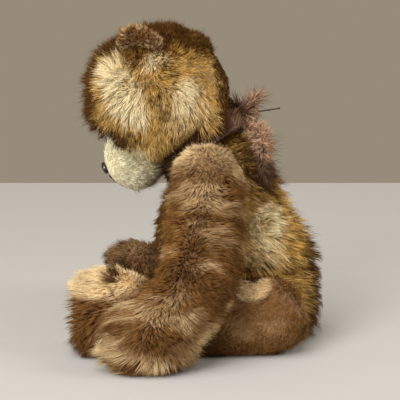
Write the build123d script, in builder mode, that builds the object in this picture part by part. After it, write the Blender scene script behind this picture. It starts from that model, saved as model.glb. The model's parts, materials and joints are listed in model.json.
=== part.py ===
"""Seated plush monkey, 26 cm tall, with a disc-jointed head, arms and legs.

Each limb is a stuffed fur cover that a bolt holds against the torso: a washer and a hardboard disc
on each side of the two covers spread the load, and a lock nut inside the torso closes the joint.
The toy faces -Y, its left side is +X, and it sits on Z = 0. Units are millimetres.
"""

from build123d import *
from math import radians, sin, cos
import os

# ---- Driving dimensions -------------------------------------------------------------------------
SKIN = 3.0  # fabric backing with the dense foot of its pile
SKIN_TO_FILLING = 0.4
JOINT_GAP = 1.0  # between the two covers that a joint holds together
FIT = 0.1  # running clearance of a bolt in its discs and washers, and between stacked pieces

# Joint hardware
BOLT_RADIUS = 2.5
BOLT_HEAD_RADIUS, BOLT_HEAD_HEIGHT = 5.0, 3.0
NUT_RADIUS, NUT_HEIGHT = 4.6, 4.5
BOLT_TAIL = 1.5  # thread past the nut
WASHER_RADIUS, WASHER_THICKNESS = 8.0, 1.2
DISC_THICKNESS = 3.0
NECK_DISC_RADIUS, SHOULDER_DISC_RADIUS, HIP_DISC_RADIUS = 17.0, 13.0, 19.0

# Torso
HALF_TORSO = 47.0  # from the middle to the flats that the limbs lie against
SHOULDER_Y, SHOULDER_Z, SHOULDER_BOSS_RADIUS = -25.0, 130.0, 17.5
HIP_Y, HIP_Z, HIP_BOSS_RADIUS = 24.0, 30.0, 25.0

# Neck joint and head
NECK_TILT = 39.8  # of the neck axis, forward from the vertical
NECK_POINT = Vector(0, -28.5, 163)
HEAD_RADIUS = 55.0
HEAD_FLAT = 50.5  # from the head's centre to the flat at the neck
MUZZLE_RADIUS, MUZZLE_FORWARD, MUZZLE_DOWN = 24.0, 52.7, 23.0
MUZZLE_SKIN = 2.0
EYE_RADIUS, EYE_SIDE, EYE_UP, EYE_PROUD = 5.5, 17.0, 6.0, -1.0
EYE_SHANK_RADIUS, EYE_SHANK_LENGTH = 1.5, 11.0
EAR_RADIUS, EAR_BACK_DEPTH = 18.0, 5.5
EAR_BACK_RADIUS = (EAR_RADIUS**2 + EAR_BACK_DEPTH**2) / (2 * EAR_BACK_DEPTH)

# Scarf and tag pin
SCARF_RING_RADIUS, SCARF_THICKNESS_RADIUS, SCARF_DROP = 34.0, 5.5, 1.0

# Limb forms: x, y, z of the middle, half width across X, half depth across the limb
RIGHT_REACH = 0.86  # the right leg is drawn up a little, as soft filling bunches
ARM_STATIONS = [
    (69.0, -25.0, 163.0, 8.0, 9.0),
    (69.5, -25.0, 159.5, 15.0, 17.0),
    (70.0, -25.0, 150.0, 20.5, 23.5),
    (71.0, -25.0, 131.0, 22.0, 25.0),
    (77.5, -25.5, 112.0, 22.5, 25.0),
    (92.0, -26.5, 92.0, 23.0, 24.5),
    (109.0, -31.0, 72.0, 23.5, 24.5),
    (119.5, -42.0, 53.0, 24.0, 25.0),
    (124.5, -57.0, 37.0, 24.0, 26.0),
    (126.0, -73.0, 27.0, 24.0, 27.0),
    (126.0, -88.0, 24.0, 20.0, 23.0),
    (126.0, -96.0, 23.0, 10.0, 12.0),
]
ELBOW_Z, WRIST_Z = 104.0, 58.0  # heights of the seams between an arm's three covers
LEG_STATIONS = [
    (71.5, 50.5, 37.0, 9.0, 10.0),
    (71.5, 48.0, 36.0, 15.5, 18.0),
    (71.5, 40.0, 33.5, 20.5, 26.0),
    (71.5, 24.0, 31.0, 22.5, 30.0),
    (71.5, -10.0, 29.0, 22.5, 29.0),
    (71.5, -45.0, 27.5, 22.0, 27.5),
    (71.0, -75.0, 28.5, 22.5, 29.0),
    (71.0, -98.0, 32.5, 23.5, 34.0),
    (71.0, -113.0, 34.0, 23.0, 33.0),
    (71.0, -124.0, 34.0, 17.5, 24.0),
    (71.0, -128.5, 34.0, 9.0, 12.0),
]
RIGHT_LEG_STATIONS = [(x, max(y, y * RIGHT_REACH), z, width, depth)
                      for x, y, z, width, depth in LEG_STATIONS]
# The torso's stations also state how far each one tilts forward, in degrees
TORSO_STATIONS = [
    (0.0, 0.0, 0.0, 29.0, 38.0, 0.0),
    (0.0, 0.0, 6.0, 38.0, 49.0, 0.0),
    (0.0, 1.0, 20.0, 44.0, 57.0, 0.0),
    (0.0, 0.5, 46.0, 46.5, 59.0, 0.0),
    (0.0, -6.5, 82.0, 46.5, 56.5, 0.0),
    (0.0, -13.5, 110.0, 43.0, 46.0, 4.0),
    (0.0, -15.5, 129.0, 38.0, 38.0, 14.0),
    (0.0, -18.0, 145.5, 32.0, 30.0, 30.0),
    (0.0, -23.0, 156.4, 26.0, 24.5, 39.0),
]
NECK_RADIUS = 22.0
FOOT_PAD_THICKNESS, FOOT_PAD_Y = 1.2, -119.0  # the pad covers the sole in front of this Y

BEAD_BAG_RADIUS, BEAD_BAG_HALF_HEIGHT, BEAD_BAG_Z = 32.0, 12.0, 20.0

# ---- Directions and places that follow from them -------------------------------------------------
NECK_AXIS = Vector(0, -sin(radians(NECK_TILT)), cos(radians(NECK_TILT)))
FACE_FORWARD = Vector(0, -cos(radians(NECK_TILT)), -sin(radians(NECK_TILT)))
HEAD_CENTRE = NECK_POINT + NECK_AXIS * (HEAD_FLAT + JOINT_GAP / 2)
MUZZLE_CENTRE = HEAD_CENTRE + FACE_FORWARD * MUZZLE_FORWARD - NECK_AXIS * MUZZLE_DOWN
NECK_PLANE = Plane(NECK_POINT, x_dir=(1, 0, 0), z_dir=NECK_AXIS)
SIDES = {"left": 1, "right": -1}
WALL_IN = JOINT_GAP / 2 + SKIN  # from a joint's middle plane to the inside of either cover

os.makedirs("parts", exist_ok=True)


def in_head(side, forward, up):
    """A point in the head's own directions: to its left, forward and up from its centre."""
    return HEAD_CENTRE + Vector(side, 0, 0) + FACE_FORWARD * forward + NECK_AXIS * up


def write(name, part):
    part.label = name
    export_step(part, f"parts/{name}.step")


def limb_form(stations, side, inset=0.0):
    """A closed tapering tube through a limb's stations, on one side of the toy, drawn in by inset."""
    middles = [Vector(side * x, y, z) for x, y, z, _, _ in stations]
    last = len(stations) - 1
    with BuildPart() as form:
        for i, (_, _, _, half_width, half_depth) in enumerate(stations):
            along = (middles[min(i + 1, last)] - middles[max(i - 1, 0)]).normalized()
            across = (Vector(1, 0, 0) - along * along.X).normalized()
            end_shift = inset * ((i == 0) - (i == last))
            with BuildSketch(Plane(middles[i] + along * end_shift, x_dir=across, z_dir=along)):
                Ellipse(half_width - inset, half_depth - inset)
        loft()
        split(bisect_by=Plane.XY.offset(inset), keep=Keep.TOP)
    return form.part


def torso_form(inset=0.0):
    """The pear-shaped torso up to the flat at the neck, drawn in by inset."""
    with BuildPart() as form:
        for i, (x, y, z, half_width, half_depth, tilt) in enumerate(TORSO_STATIONS):
            up = Vector(0, -sin(radians(tilt)), cos(radians(tilt)))
            middle = Vector(x, y, z) + up * (inset if i == 0 else 0)
            with BuildSketch(Plane(middle, x_dir=(1, 0, 0), z_dir=up)):
                Ellipse(half_width - inset, half_depth - inset)
        with BuildSketch(NECK_PLANE.offset(-JOINT_GAP / 2 - inset)):
            Circle(NECK_RADIUS - inset)
        loft()
        add(side_bosses(SHOULDER_Y, SHOULDER_Z, SHOULDER_BOSS_RADIUS - inset, inset))
        add(side_bosses(HIP_Y, HIP_Z, HIP_BOSS_RADIUS - inset, inset))
        half = HALF_TORSO - inset
        split(bisect_by=Plane.YZ.offset(half), keep=Keep.BOTTOM)
        split(bisect_by=Plane.YZ.offset(-half), keep=Keep.TOP)
    return form.part


def side_bosses(y, z, radius, inset):
    """One round bar across the torso that ends in the two flats of a pair of joints."""
    with BuildPart() as bar:
        with BuildSketch(Plane.YZ):
            with Locations((y, z)):
                Circle(radius)
        extrude(amount=HALF_TORSO - inset, both=True)
    return bar.part


def lens(centre, radial, axis, radius, half_thickness):
    """A round cushion about centre whose short way lies along axis."""
    with BuildPart() as made:
        with BuildSketch(Plane(centre, x_dir=radial, z_dir=radial.cross(axis))):
            with BuildLine():
                EllipticalCenterArc((0, 0), radius, half_thickness, 0, arc_size=90)
                Line((0, half_thickness), (0, 0))
                Line((0, 0), (radius, 0))
            make_face()
        revolve(axis=Axis(centre, axis))
        mirror(about=Plane(centre, z_dir=axis))
    return made.part


def ring(plane, outer, inner, low, high):
    """A flat ring on plane, between two heights along its normal."""
    with BuildPart() as made:
        with BuildSketch(plane.offset(low)):
            Circle(outer)
            if inner:
                Circle(inner, mode=Mode.SUBTRACT)
        extrude(amount=high - low)
    return made.part


# ---- Joint hardware ------------------------------------------------------------------------------
BORE = BOLT_RADIUS + FIT
STACK_DISC = (WALL_IN + FIT, WALL_IN + FIT + DISC_THICKNESS)
STACK_WASHER = (STACK_DISC[1] + FIT, STACK_DISC[1] + FIT + WASHER_THICKNESS)
STACK_END = STACK_WASHER[1] + FIT
HARDWARE_DEPTH = STACK_END + NUT_HEIGHT + BOLT_TAIL + FIT


def disc(plane, radius, towards_limb):
    """A hardboard joint disc with an eased rim, on one side of the joint."""
    low, high = STACK_DISC if towards_limb else (-STACK_DISC[1], -STACK_DISC[0])
    with BuildPart() as made:
        add(ring(plane, radius, BORE, low, high))
        fillet(made.edges().filter_by(GeomType.CIRCLE).sort_by(SortBy.RADIUS)[-2:], 0.8)
    return made.part


def bolt(plane):
    """A hex-headed bolt from the limb's side through both covers into the torso."""
    with BuildPart() as made:
        with BuildSketch(plane.offset(STACK_END)):
            RegularPolygon(BOLT_HEAD_RADIUS, 6)
        extrude(amount=BOLT_HEAD_HEIGHT)
        chamfer(made.edges().filter_by(GeomType.LINE).sort_by(
            lambda edge: abs(plane.to_local_coords(edge.center()).Z))[-6:], 0.5)
        with BuildSketch(plane.offset(STACK_END)):
            Circle(BOLT_RADIUS)
        extrude(amount=-(2 * STACK_END + NUT_HEIGHT + BOLT_TAIL))
    return made.part


def lock_nut(plane):
    """A hex lock nut with a round collar, on the torso's side."""
    with BuildPart() as made:
        with BuildSketch(plane.offset(-STACK_END)):
            RegularPolygon(NUT_RADIUS, 6)
        extrude(amount=-0.7 * NUT_HEIGHT)
        with BuildSketch(plane.offset(-STACK_END - 0.7 * NUT_HEIGHT)):
            Circle(0.8 * NUT_RADIUS)
        extrude(amount=-0.3 * NUT_HEIGHT)
        with BuildSketch(plane.offset(-STACK_END)):
            Circle(BOLT_RADIUS + FIT / 2)
        extrude(amount=-NUT_HEIGHT, mode=Mode.SUBTRACT)
    return made.part


def side_plane(side, y, z):
    """The middle plane of a limb's joint, facing away from the torso."""
    middle = Vector(side * (HALF_TORSO + JOINT_GAP / 2), y, z)
    return Plane(middle, x_dir=(0, 1, 0), z_dir=(side, 0, 0))


JOINTS = {"neck": (NECK_PLANE, NECK_DISC_RADIUS, "head")}
for side_name, side_sign in SIDES.items():
    JOINTS[f"{side_name}_shoulder"] = (
        side_plane(side_sign, SHOULDER_Y, SHOULDER_Z), SHOULDER_DISC_RADIUS, "arm")
    JOINTS[f"{side_name}_hip"] = (side_plane(side_sign, HIP_Y, HIP_Z), HIP_DISC_RADIUS, "leg")

for joint, (plane, radius, limb) in JOINTS.items():
    write(f"{joint}_torso_disc", disc(plane, radius, towards_limb=False))
    write(f"{joint}_{limb}_disc", disc(plane, radius, towards_limb=True))
    write(f"{joint}_{limb}_washer", ring(plane, WASHER_RADIUS, BORE, *STACK_WASHER))
    write(f"{joint}_bolt", bolt(plane))

with BuildPart() as joint_washers:
    for plane, _, _ in JOINTS.values():
        add(ring(plane, WASHER_RADIUS, BORE, -STACK_WASHER[1], -STACK_WASHER[0]))
write("torso_joint_washers", joint_washers.part)

with BuildPart() as lock_nuts:
    for plane, _, _ in JOINTS.values():
        add(lock_nut(plane))
write("torso_lock_nuts", lock_nuts.part)

# ---- Torso ---------------------------------------------------------------------------------------
COVER_HOLE = BOLT_RADIUS + 3 * FIT


def bolt_holes(joint_names):
    """Cuts the holes that the bolts of these joints pass through, out of the part being built."""
    for name in joint_names:
        hole_plane = JOINTS[name][0]
        add(ring(hole_plane, COVER_HOLE, 0, -WALL_IN - FIT, WALL_IN + FIT), mode=Mode.SUBTRACT)


def hardware_pockets(joint_names, towards_limb):
    """Leaves room for a joint's discs, washers and bolt ends in the filling being built."""
    for name in joint_names:
        pocket_plane, disc_radius, _ = JOINTS[name]
        low, high = (0, HARDWARE_DEPTH) if towards_limb else (-HARDWARE_DEPTH, 0)
        add(ring(pocket_plane, disc_radius + 1, 0, low, high), mode=Mode.SUBTRACT)


with BuildPart() as torso_cover:
    add(torso_form())
    add(torso_form(SKIN), mode=Mode.SUBTRACT)
    bolt_holes(JOINTS)
write("torso_cover", torso_cover.part)


def bead_bag_form(gap=0.0):
    """The flat round bag of beads that weights the seat, grown by gap."""
    middle = Vector(0, 0, BEAD_BAG_Z)
    return lens(middle, Vector(1, 0, 0), Vector(0, 0, 1),
                BEAD_BAG_RADIUS + gap, BEAD_BAG_HALF_HEIGHT + gap)


write("seat_bead_bag", bead_bag_form())

with BuildPart() as torso_stuffing:
    add(torso_form(SKIN + SKIN_TO_FILLING))
    hardware_pockets(JOINTS, towards_limb=False)
    add(bead_bag_form(SKIN_TO_FILLING), mode=Mode.SUBTRACT)
write("torso_stuffing", torso_stuffing.part)

# ---- Arms and legs -------------------------------------------------------------------------------


def limb_with_boss(stations, side, plane, boss_radius, inset=0.0):
    """A limb's form with the short round boss whose flat lies against the torso."""
    with BuildPart() as form:
        add(limb_form(stations, side, inset))
        boss_reach = stations[3][0] - HALF_TORSO - JOINT_GAP / 2
        add(ring(plane, boss_radius - inset, 0, JOINT_GAP / 2 + inset, boss_reach))
    return form.part


def between(part, low, high):
    """What of a part lies between two heights."""
    with BuildPart() as slab:
        add(part)
        split(bisect_by=Plane.XY.offset(low), keep=Keep.TOP)
        split(bisect_by=Plane.XY.offset(high), keep=Keep.BOTTOM)
    return slab.part


for side_name, side_sign in SIDES.items():
    leg_stations = LEG_STATIONS if side_sign > 0 else RIGHT_LEG_STATIONS
    limbs = {
        "arm": (ARM_STATIONS, f"{side_name}_shoulder", SHOULDER_BOSS_RADIUS),
        "leg": (leg_stations, f"{side_name}_hip", HIP_BOSS_RADIUS),
    }
    for limb, (stations, joint, boss_radius) in limbs.items():
        plane = JOINTS[joint][0]
        with BuildPart() as limb_cover:
            add(limb_with_boss(stations, side_sign, plane, boss_radius))
            add(limb_with_boss(stations, side_sign, plane, boss_radius, SKIN), mode=Mode.SUBTRACT)
            bolt_holes([joint])
        if limb == "leg":
            write(f"{side_name}_leg_cover", limb_cover.part)
        else:
            write(f"{side_name}_upper_arm_cover", between(limb_cover.part, ELBOW_Z, SHOULDER_Z * 2))
            write(f"{side_name}_forearm_cover", between(limb_cover.part, WRIST_Z, ELBOW_Z))
            write(f"{side_name}_paw_cover", between(limb_cover.part, -SKIN, WRIST_Z))

        with BuildPart() as limb_stuffing:
            add(limb_form(stations, side_sign, SKIN + SKIN_TO_FILLING))
            hardware_pockets([joint], towards_limb=True)
        write(f"{side_name}_{limb}_stuffing", limb_stuffing.part)

    reach = 1.0 if side_sign > 0 else RIGHT_REACH
    with BuildPart() as foot_pad:
        add(limb_form(leg_stations, side_sign, -FOOT_PAD_THICKNESS - FIT))
        add(limb_form(leg_stations, side_sign, -FIT), mode=Mode.SUBTRACT)
        split(bisect_by=Plane.XZ.offset(-FOOT_PAD_Y * reach), keep=Keep.TOP)
    write(f"{side_name}_foot_pad", foot_pad.part)

# ---- Head ----------------------------------------------------------------------------------------


def head_form(inset=0.0):
    """The round head with its flat at the neck, drawn in by inset."""
    with BuildPart(Plane(HEAD_CENTRE, x_dir=(1, 0, 0), z_dir=NECK_AXIS)) as form:
        Sphere(HEAD_RADIUS - inset)
        split(bisect_by=NECK_PLANE.offset(JOINT_GAP / 2 + inset), keep=Keep.TOP)
    return form.part


def ball(centre, radius):
    """A ball about centre."""
    with BuildPart(Plane(centre)) as made:
        Sphere(radius)
    return made.part


def eye_plane(side):
    """The plane of an eye on the head's surface, facing straight out."""
    forward = (HEAD_RADIUS**2 - EYE_SIDE**2 - EYE_UP**2) ** 0.5
    place = in_head(side * EYE_SIDE, forward, EYE_UP)
    return Plane(place, z_dir=(place - HEAD_CENTRE).normalized())


EYE_WASHER_DEPTH = SKIN + 3 * FIT

with BuildPart() as head_cover:
    add(head_form())
    add(head_form(SKIN), mode=Mode.SUBTRACT)
    bolt_holes(["neck"])
    for side_sign in SIDES.values():
        add(ring(eye_plane(side_sign), EYE_SHANK_RADIUS + FIT, 0, -2 * SKIN, SKIN),
            mode=Mode.SUBTRACT)
write("head_cover", head_cover.part)

with BuildPart() as head_stuffing:
    add(head_form(SKIN + SKIN_TO_FILLING))
    hardware_pockets(["neck"], towards_limb=True)
    for side_sign in SIDES.values():
        add(ring(eye_plane(side_sign), EYE_RADIUS + 1, 0, -EYE_SHANK_LENGTH - 1, 0),
            mode=Mode.SUBTRACT)
write("head_stuffing", head_stuffing.part)

with BuildPart() as muzzle_cover:
    add(ball(MUZZLE_CENTRE, MUZZLE_RADIUS))
    add(ball(MUZZLE_CENTRE, MUZZLE_RADIUS - MUZZLE_SKIN), mode=Mode.SUBTRACT)
    add(ball(HEAD_CENTRE, HEAD_RADIUS + FIT), mode=Mode.SUBTRACT)
write("muzzle_cover", muzzle_cover.part)

with BuildPart() as muzzle_stuffing:
    add(ball(MUZZLE_CENTRE, MUZZLE_RADIUS - MUZZLE_SKIN - SKIN_TO_FILLING))
    add(ball(HEAD_CENTRE, HEAD_RADIUS + SKIN_TO_FILLING), mode=Mode.SUBTRACT)
write("muzzle_stuffing", muzzle_stuffing.part)

NOSE_HALF_WIDTH, NOSE_HALF_HEIGHT, NOSE_PROUD = 8.0, 5.5, 3.0
NOSE_ANGLE = 20.0  # above the muzzle's forward direction
nose_out = (FACE_FORWARD * cos(radians(NOSE_ANGLE)) + NECK_AXIS * sin(radians(NOSE_ANGLE)))
nose_plane = Plane(MUZZLE_CENTRE + nose_out * (MUZZLE_RADIUS - 1), x_dir=(1, 0, 0), z_dir=nose_out)
with BuildPart() as nose:
    with BuildSketch(nose_plane):
        Ellipse(NOSE_HALF_WIDTH, NOSE_HALF_HEIGHT)
    extrude(amount=NOSE_PROUD + 1)
    fillet(nose.faces().sort_by(
        lambda face: nose_plane.to_local_coords(face.center()).Z)[-1].edges(), 2.0)
    add(ball(MUZZLE_CENTRE, MUZZLE_RADIUS + FIT), mode=Mode.SUBTRACT)
write("nose", nose.part)

STITCH_RADIUS, STITCH_START, STITCH_ARC = 0.6, -4.0, 62.0  # angles below the muzzle's forward
stitch_line = MUZZLE_RADIUS + STITCH_RADIUS + FIT
mouth_plane = Plane(MUZZLE_CENTRE, x_dir=FACE_FORWARD, z_dir=(1, 0, 0))
with BuildPart() as mouth_stitching:
    with BuildLine(mouth_plane) as seam:
        CenterArc((0, 0), stitch_line, STITCH_START, STITCH_ARC)
    with BuildSketch(Plane(seam.line @ 0, z_dir=seam.line % 0)):
        Circle(STITCH_RADIUS)
    sweep()
write("mouth_stitching", mouth_stitching.part)

with BuildPart() as eye_washers:
    for side_sign in SIDES.values():
        add(ring(eye_plane(side_sign), EYE_RADIUS - 0.5, EYE_SHANK_RADIUS + FIT,
                 -EYE_WASHER_DEPTH - 1.5, -EYE_WASHER_DEPTH))
write("eye_washers", eye_washers.part)

EAR_SIDE, EAR_FORWARD, EAR_UP = 35.0, -15.0, 43.0
EAR_RIM_RADIUS, EAR_RIM_HEIGHT, EAR_HOLLOW_HEIGHT = 12.0, 3.4, 1.0
for side_name, side_sign in SIDES.items():
    with BuildPart() as eye:
        out = eye_plane(side_sign)
        add(ball(out.origin + out.z_dir * EYE_PROUD, EYE_RADIUS))
        add(ball(HEAD_CENTRE, HEAD_RADIUS + FIT), mode=Mode.SUBTRACT)
        add(ring(out, EYE_SHANK_RADIUS, 0, -EYE_SHANK_LENGTH, EYE_PROUD))
    write(f"{side_name}_eye", eye.part)

    ear_centre = in_head(side_sign * EAR_SIDE, EAR_FORWARD, EAR_UP)
    outward = (ear_centre - HEAD_CENTRE).normalized()
    facing = Vector(side_sign, 0, 0) + FACE_FORWARD * 0.6
    facing = (facing - outward * facing.dot(outward)).normalized()
    with BuildPart() as ear:
        with BuildSketch(Plane(ear_centre, x_dir=outward, z_dir=outward.cross(facing))):
            with BuildLine():
                RadiusArc((0, -EAR_BACK_DEPTH), (EAR_RADIUS, 0), -EAR_BACK_RADIUS)
                TangentArc((EAR_RADIUS, 0), (EAR_RIM_RADIUS, EAR_RIM_HEIGHT), tangent=(0, 1))
                Line((EAR_RIM_RADIUS, EAR_RIM_HEIGHT), (0, EAR_HOLLOW_HEIGHT))
                Line((0, EAR_HOLLOW_HEIGHT), (0, -EAR_BACK_DEPTH))
            make_face()
        revolve(axis=Axis(ear_centre, facing))
        add(ball(HEAD_CENTRE, HEAD_RADIUS + FIT), mode=Mode.SUBTRACT)
    write(f"{side_name}_ear", ear.part)

# ---- Scarf and tag pin -----------------------------------------------------------------------------
scarf_plane = NECK_PLANE.offset(-SCARF_DROP)
nape_out = FACE_FORWARD * -1  # in the neck's plane, towards the back
KNOT_RADIUS = 9.0
knot_centre = scarf_plane.origin + nape_out * (SCARF_RING_RADIUS + 7) - NECK_AXIS * 1

with BuildPart() as scarf_knot:
    add(ball(knot_centre, KNOT_RADIUS))
write("scarf_knot", scarf_knot.part)

with BuildPart() as scarf_band:
    with BuildSketch(Plane(scarf_plane.origin, x_dir=FACE_FORWARD, z_dir=(1, 0, 0))):
        with Locations((SCARF_RING_RADIUS, 0)):
            Circle(SCARF_THICKNESS_RADIUS)
    revolve(axis=Axis(scarf_plane.origin, NECK_AXIS))
    add(ball(knot_centre, KNOT_RADIUS + FIT), mode=Mode.SUBTRACT)
write("scarf_band", scarf_band.part)

SCARF_END_HALF_WIDTH, SCARF_END_HALF_DEPTH = 10.0, 4.0
# x, y, z of the middle of each scarf end, from the knot outward
LONG_END = [(11.0, 12.0, 174.0), (18.0, 16.0, 162.0), (24.0, 20.0, 148.0), (28.0, 24.0, 131.0),
            (30.0, 29.5, 112.0)]
LONG_END_ACROSS, SHORT_END_ACROSS = Vector(1.0, -0.5, 0), Vector(1, 0, 0)
SHORT_END = [(-1.0, 9.0, 193.0), (0.0, 15.5, 200.5), (2.0, 22.0, 208.0)]


def scarf_end(route, across):
    """A loose end of the scarf, as a flattened tube along its route, wide in the direction across."""
    middles = [Vector(*place) for place in route]
    last = len(route) - 1
    with BuildPart() as made:
        for i, middle in enumerate(middles):
            along = (middles[min(i + 1, last)] - middles[max(i - 1, 0)]).normalized()
            with BuildSketch(Plane(middle, x_dir=across, z_dir=along)):
                Ellipse(SCARF_END_HALF_WIDTH, SCARF_END_HALF_DEPTH)
        loft()
        add(ball(knot_centre, KNOT_RADIUS + FIT), mode=Mode.SUBTRACT)
        add(scarf_band.part, mode=Mode.SUBTRACT)
    return made.part


write("scarf_long_end", scarf_end(LONG_END, LONG_END_ACROSS))
write("scarf_short_end", scarf_end(SHORT_END, SHORT_END_ACROSS))

PIN_RADIUS, PIN_LENGTH = 0.6, 23.0
pin_direction = Vector(0.25, 1.0, 0.17).normalized()
pin_start = knot_centre + pin_direction * (KNOT_RADIUS + 0.2)
with BuildPart() as tag_pin:
    with BuildSketch(Plane(pin_start, z_dir=pin_direction)):
        Circle(PIN_RADIUS)
    extrude(amount=PIN_LENGTH)
    with BuildSketch(Plane(pin_start + pin_direction * PIN_LENGTH, z_dir=pin_direction)):
        SlotOverall(3.2, 1.6)
    extrude(amount=1.6)
write("tag_pin", tag_pin.part)
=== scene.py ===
"""Looks of a seated plush monkey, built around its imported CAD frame.

Every cover becomes a soft skin that is puffed by a cloth simulation, and the pile on it is grown as
closed tapering tufts, gathered in pieces of a few thousand. Lengths are in metres, in the CAD frame:
the toy faces -Y, its left side is +X and it sits on Z = 0.
"""

import json
from math import cos, pi, radians, sin

import bmesh
import bpy
import numpy as np
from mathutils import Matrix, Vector
from mathutils.kdtree import KDTree

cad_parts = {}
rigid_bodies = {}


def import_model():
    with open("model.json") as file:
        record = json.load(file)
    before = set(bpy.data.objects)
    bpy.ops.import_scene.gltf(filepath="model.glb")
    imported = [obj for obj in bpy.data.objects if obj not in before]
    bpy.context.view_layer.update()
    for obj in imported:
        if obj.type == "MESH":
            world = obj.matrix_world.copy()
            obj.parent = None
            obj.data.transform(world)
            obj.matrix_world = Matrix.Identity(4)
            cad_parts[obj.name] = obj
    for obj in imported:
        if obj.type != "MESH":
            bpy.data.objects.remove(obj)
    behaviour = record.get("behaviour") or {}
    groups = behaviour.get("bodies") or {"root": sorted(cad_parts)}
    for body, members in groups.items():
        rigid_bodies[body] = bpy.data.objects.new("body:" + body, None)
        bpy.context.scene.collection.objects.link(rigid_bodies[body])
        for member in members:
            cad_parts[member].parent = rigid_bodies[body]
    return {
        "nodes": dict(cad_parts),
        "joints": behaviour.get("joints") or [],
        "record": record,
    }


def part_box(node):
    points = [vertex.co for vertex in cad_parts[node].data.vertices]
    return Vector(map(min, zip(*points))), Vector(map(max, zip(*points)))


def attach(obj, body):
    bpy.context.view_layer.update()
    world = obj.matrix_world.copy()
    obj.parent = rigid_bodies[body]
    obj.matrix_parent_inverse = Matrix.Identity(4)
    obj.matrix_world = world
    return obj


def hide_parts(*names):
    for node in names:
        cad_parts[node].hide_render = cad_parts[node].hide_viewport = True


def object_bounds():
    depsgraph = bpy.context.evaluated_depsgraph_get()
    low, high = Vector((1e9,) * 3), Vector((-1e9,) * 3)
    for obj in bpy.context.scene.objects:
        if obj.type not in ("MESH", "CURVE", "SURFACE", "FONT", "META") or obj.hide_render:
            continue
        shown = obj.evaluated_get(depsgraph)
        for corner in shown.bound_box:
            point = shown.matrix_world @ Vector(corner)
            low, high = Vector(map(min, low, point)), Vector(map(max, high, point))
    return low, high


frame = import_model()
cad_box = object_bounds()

MM = 0.001
RECORD = frame["record"]
JOINTS = {joint["name"]: joint for joint in frame["joints"]}
BODIES = RECORD["behaviour"]["bodies"]


# ---- Directions of the head ----
NECK = np.array(JOINTS["neck_turn"]["pos_m"])
NECK_UP = np.array(JOINTS["neck_turn"]["axis"], float)
NECK_UP /= np.linalg.norm(NECK_UP)
FACE = np.array([0.0, -NECK_UP[2], NECK_UP[1]])  # the way the face looks, square to the neck's axis
RING_RADIUS = 37 * MM  # of the scarf's band about the neck's axis
HEAD_CENTRE = NECK + NECK_UP * 51 * MM
SIDE_SIGNS = {"left": 1.0, "right": -1.0}
EYE = np.array([17, 52, 6.0])  # the left one, to the side, forward and up in the head, in mm
MIRRORED = np.array([-1, 1, 1])


def unit(v):
    """Vectors scaled to length one."""
    return v / np.maximum(np.linalg.norm(v, axis=-1, keepdims=True), 1e-9)


def smoothstep(low, high, x):
    """0 below low, 1 above high and a smooth rise between them."""
    t = np.clip((x - low) / (high - low), 0, 1)
    return t * t * (3 - 2 * t)


def in_head(points):
    """Row points in the head's own directions: side, forward and up from its centre, in mm."""
    offset = (points - HEAD_CENTRE) / MM
    return np.stack([offset[:, 0], offset @ FACE, offset @ NECK_UP], axis=1)


def folded_offset(points, centre=np.zeros(3)):
    """Row points as offsets in mm from a centre, with both sides of the toy folded onto its left side."""
    offset = (points - centre) / MM
    offset[:, 0] = np.abs(offset[:, 0])
    return offset


def from_head(side, forward, up):
    """A row point from the head's own directions, given in mm."""
    return HEAD_CENTRE + (np.array([side, 0, 0]) + FACE * forward + NECK_UP * up) * MM


def from_head_flow(rows):
    """Rows of side, forward and up in the head as directions in the frame."""
    return rows[:, :1] * np.array([[1.0, 0, 0]]) + rows[:, 1:2] * FACE + rows[:, 2:3] * NECK_UP


def lattice_noise(points, scale, seed):
    """Smooth random values from 0 to 1 that vary over about scale metres."""
    cells = points / scale
    low = np.floor(cells).astype(np.int64)
    part = cells - low
    part = part * part * (3 - 2 * part)
    total = np.zeros(len(points))
    for corner in range(8):
        step = np.array([corner & 1, corner >> 1 & 1, corner >> 2 & 1])
        at = low + step
        mixed = (at[:, 0] * 73856093) ^ (at[:, 1] * 19349663) ^ (at[:, 2] * 83492791) ^ (seed * 2654435)
        mixed = (mixed * 1103515245 + 12345) & 0x7FFFFFFF
        value = ((mixed >> 8) & 0xFFFF) / 65535.0
        weight = np.prod(np.where(step == 1, part, 1 - part), axis=1)
        total += value * weight
    return total


# ---- Materials ----


def node_material(name, roughness, sheen=0.0, coat=0.0, metallic=0.0):
    """A material with its Principled shader; plain values are set on the shader's own sockets."""
    material = bpy.data.materials.new(name)
    material.use_nodes = True
    shader = material.node_tree.nodes["Principled BSDF"]
    shader.inputs["Roughness"].default_value = roughness
    shader.inputs["Metallic"].default_value = metallic
    shader.inputs["Sheen Weight"].default_value = sheen
    shader.inputs["Sheen Roughness"].default_value = 0.5
    shader.inputs["Coat Weight"].default_value = coat
    return material, material.node_tree, shader


def add_node(tree, kind, **settings):
    node = tree.nodes.new(kind)
    for key, value in settings.items():
        setattr(node, key, value)
    return node


def attribute(tree, name):
    """A per-point number stored on the mesh."""
    return add_node(tree, "ShaderNodeAttribute", attribute_name=name).outputs["Fac"]


def feed(tree, sockets, values):
    """Gives each socket a number or a colour, or links another node's output to it."""
    for socket, value in zip(sockets, values):
        if isinstance(value, (int, float)):
            socket.default_value = value
        elif isinstance(value, tuple):
            socket.default_value = (*value, 1.0)
        else:
            tree.links.new(value, socket)


def maths(tree, operation, a, b, clamp=False):
    node = add_node(tree, "ShaderNodeMath", operation=operation, use_clamp=clamp)
    feed(tree, node.inputs, (a, b))
    return node.outputs[0]


def mix_colour(tree, factor, first, second):
    node = add_node(tree, "ShaderNodeMix", data_type="RGBA")
    feed(tree, (node.inputs[0], node.inputs[6], node.inputs[7]), (factor, first, second))
    return node.outputs[2]


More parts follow.
